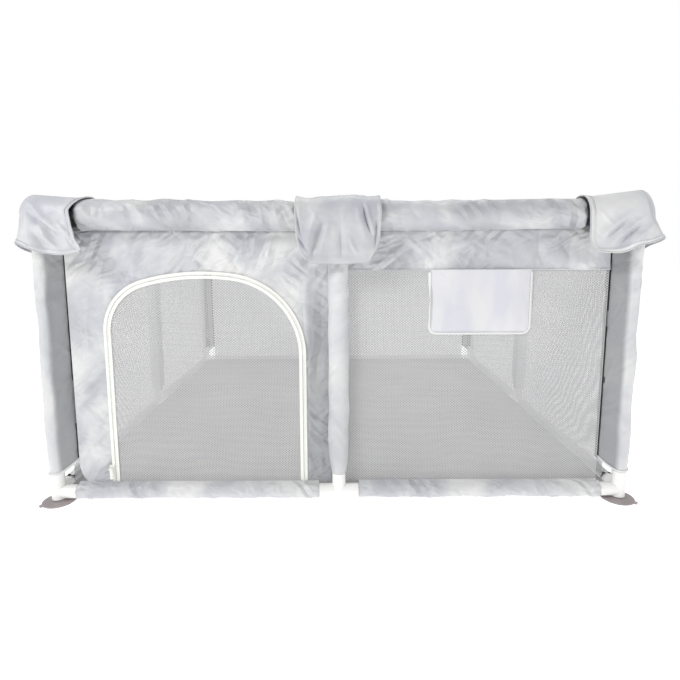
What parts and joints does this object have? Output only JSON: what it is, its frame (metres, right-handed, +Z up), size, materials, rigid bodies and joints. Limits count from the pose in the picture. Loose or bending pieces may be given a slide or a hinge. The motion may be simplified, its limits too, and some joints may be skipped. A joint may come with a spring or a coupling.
{
  "type": "playpen",
  "caption": "Square baby playpen: white tube frame in a grey satin and mesh cover, with padded top rails, fabric caps over the joints, an arched zip door and suction feet.",
  "frame": {"origin": "on the floor, under the middle of the pen", "axes": "+Z up, +X to the right seen from the door side, +Y towards the back; the door is on the -Y side"},
  "size_m": [1.309, 1.309, 0.6545],
  "materials": {
    "tube": "white powder coat",
    "connector": "white moulded plastic",
    "suction_rubber": "soft translucent grey",
    "foam": "light foam tube",
    "satin_cloth": "silver grey satin polyester",
    "netting": "open polyester netting",
    "zip_tape": "white woven zip tape",
    "zip_plastic": "white coated zip slider",
    "pocket_cloth": "thin white cloth",
    "floor_cloth": "grey woven floor cloth"
  },
  "bodies": {
    "pen": {"corner_cap_back_left": "satin_cloth", "corner_cap_back_right": "satin_cloth", "corner_cap_front_left": "satin_cloth", "corner_cap_front_right": "satin_cloth", "corner_post_back_left": "tube", "corner_post_back_right": "tube", "corner_post_front_left": "tube", "corner_post_front_right": "tube", "corner_post_sleeves": "satin_cloth", "door_wall_front_left": "satin_cloth", "floor_sheet": "floor_cloth", "low_corner_connector_back_left": "connector", "low_corner_connector_back_right": "connector", "low_corner_connector_front_left": "connector", "low_corner_connector_front_right": "connector", "low_rail_sleeves": "satin_cloth", "low_rails_back": "tube", "low_rails_front": "tube", "low_rails_left": "tube", "low_rails_right": "tube", "low_tee_back": "connector", "low_tee_front": "connector", "low_tee_left": "connector", "low_tee_right": "connector", "mesh_wall_front_right": "netting", "mesh_walls_back": "netting", "mesh_walls_left": "netting", "mesh_walls_right": "netting", "mid_cap_saddle_back": "satin_cloth", "mid_cap_saddle_front": "satin_cloth", "mid_cap_saddle_left": "satin_cloth", "mid_cap_saddle_right": "satin_cloth", "mid_post_back": "tube", "mid_post_front": "tube", "mid_post_left": "tube", "mid_post_right": "tube", "mid_post_sleeves": "satin_cloth", "rail_foam": "foam", "suction_foot_back_left": "suction_rubber", "suction_foot_back_right": "suction_rubber", "suction_foot_front_left": "suction_rubber", "suction_foot_front_right": "suction_rubber", "top_corner_connectors": "connector", "top_rail_sleeves": "satin_cloth", "top_rails_back": "tube", "top_rails_front": "tube", "top_rails_left": "tube", "top_rails_right": "tube", "top_tees": "connector", "toy_pocket": "pocket_cloth", "zip_tape_wall": "zip_tape"},
    "door": {"door_mesh": "netting", "zip_tape_door": "zip_tape"},
    "zip_slider": {"zip_slider": "zip_plastic"},
    "zip_pull": {"zip_pull": "zip_plastic"},
    "cap_flap_front": {"mid_cap_flap_front": "satin_cloth"},
    "cap_flap_right": {"mid_cap_flap_right": "satin_cloth"},
    "cap_flap_back": {"mid_cap_flap_back": "satin_cloth"},
    "cap_flap_left": {"mid_cap_flap_left": "satin_cloth"}
  },
  "joints": [
    {"name": "door_fall", "type": "hinge", "parent": "pen", "child": "door", "pos_m": [0, -0.608, 0.047], "axis": [1, 0, 0], "range_deg": [-92, 93]},
    {"name": "zip_slide", "type": "slide", "parent": "pen", "child": "zip_slider", "axis": [0, 0, 1], "range_m": [0, 0.29]},
    {"name": "zip_pull_swing", "type": "hinge", "parent": "zip_slider", "child": "zip_pull", "pos_m": [-0.5005, -0.6169, 0.071], "axis": [-1, 0, 0], "range_deg": [0, 165]},
    {"name": "cap_flap_front_lift", "type": "hinge", "parent": "pen", "child": "cap_flap_front", "pos_m": [0, -0.6539, 0.618], "axis": [-1, 0, 0], "range_deg": [0, 120]},
    {"name": "cap_flap_right_lift", "type": "hinge", "parent": "pen", "child": "cap_flap_right", "pos_m": [0.6539, 0, 0.618], "axis": [0, -1, 0], "range_deg": [0, 120]},
    {"name": "cap_flap_back_lift", "type": "hinge", "parent": "pen", "child": "cap_flap_back", "pos_m": [0, 0.6539, 0.618], "axis": [1, 0, 0], "range_deg": [0, 120]},
    {"name": "cap_flap_left_lift", "type": "hinge", "parent": "pen", "child": "cap_flap_left", "pos_m": [-0.6539, 0, 0.618], "axis": [0, 1, 0], "range_deg": [0, 120]}
  ]
}
